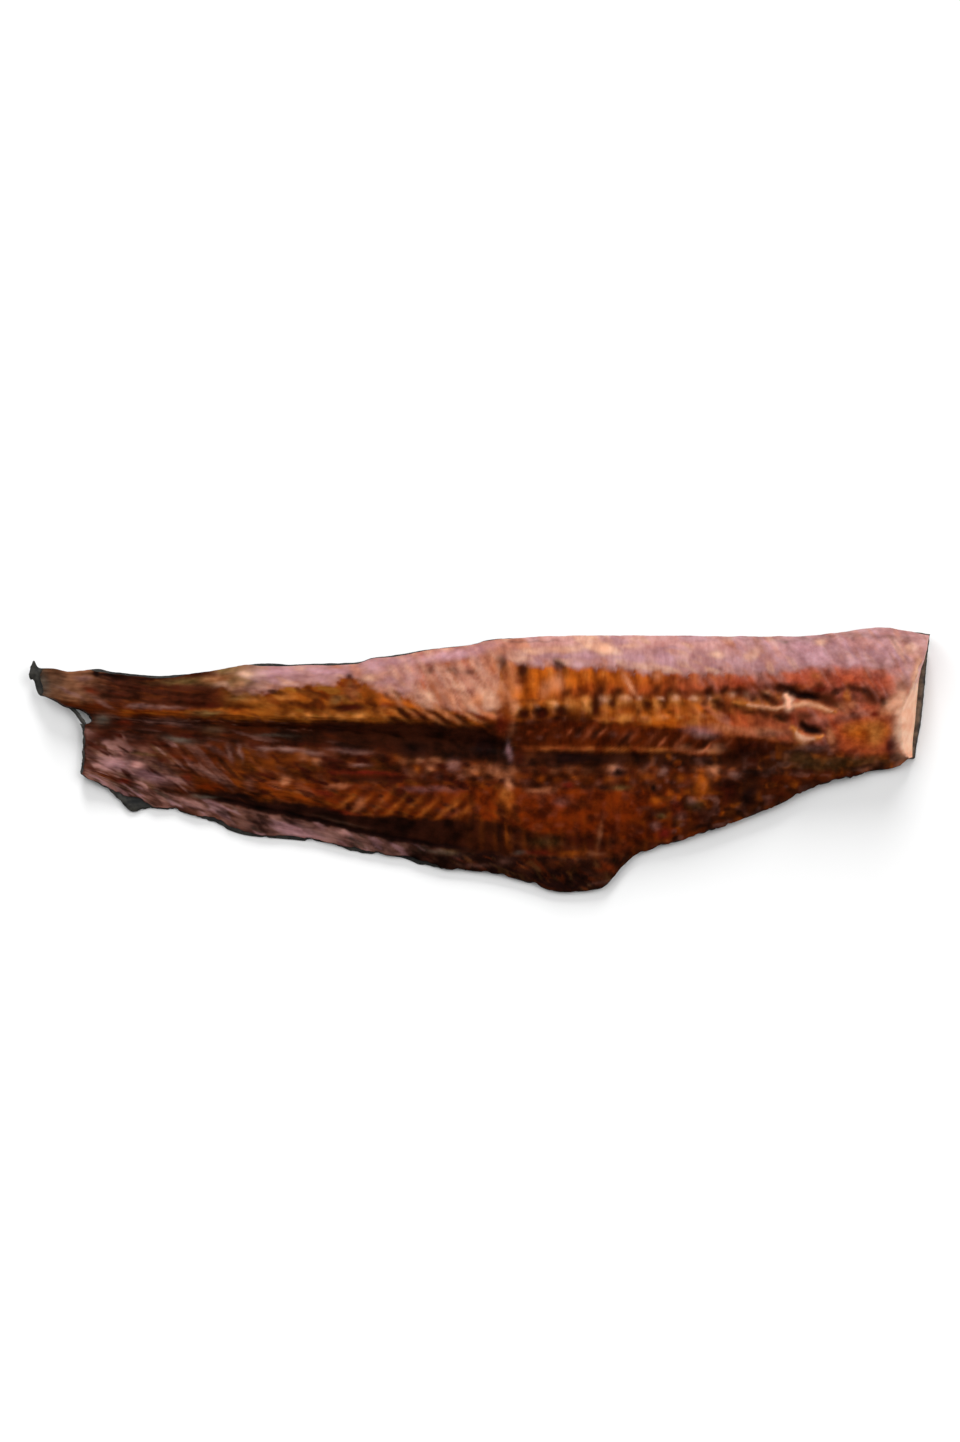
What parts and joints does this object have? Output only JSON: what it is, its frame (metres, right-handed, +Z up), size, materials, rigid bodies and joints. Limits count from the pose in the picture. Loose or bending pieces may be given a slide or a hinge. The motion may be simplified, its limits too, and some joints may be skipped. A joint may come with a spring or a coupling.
{
  "type": "smoked fish fillet",
  "caption": "One side of smoked fish lying skin down, with banded dark brown flesh, a thick loin, a thin belly edge and a split tail.",
  "frame": {"origin": "under the middle of the bounding box, on the table", "axes": "+X from the tail tip to the head cut, +Y from the belly edge to the back, +Z up from the skin to the flesh"},
  "size_m": [0.36, 0.106, 0.019],
  "materials": {
    "smoked_flesh": "moist satin, dark brown to orange with a pink back",
    "fish_skin": "satin dark grey skin"
  },
  "bodies": {
    "root": {"fillet": "smoked_flesh"}
  },
  "joints": []
}
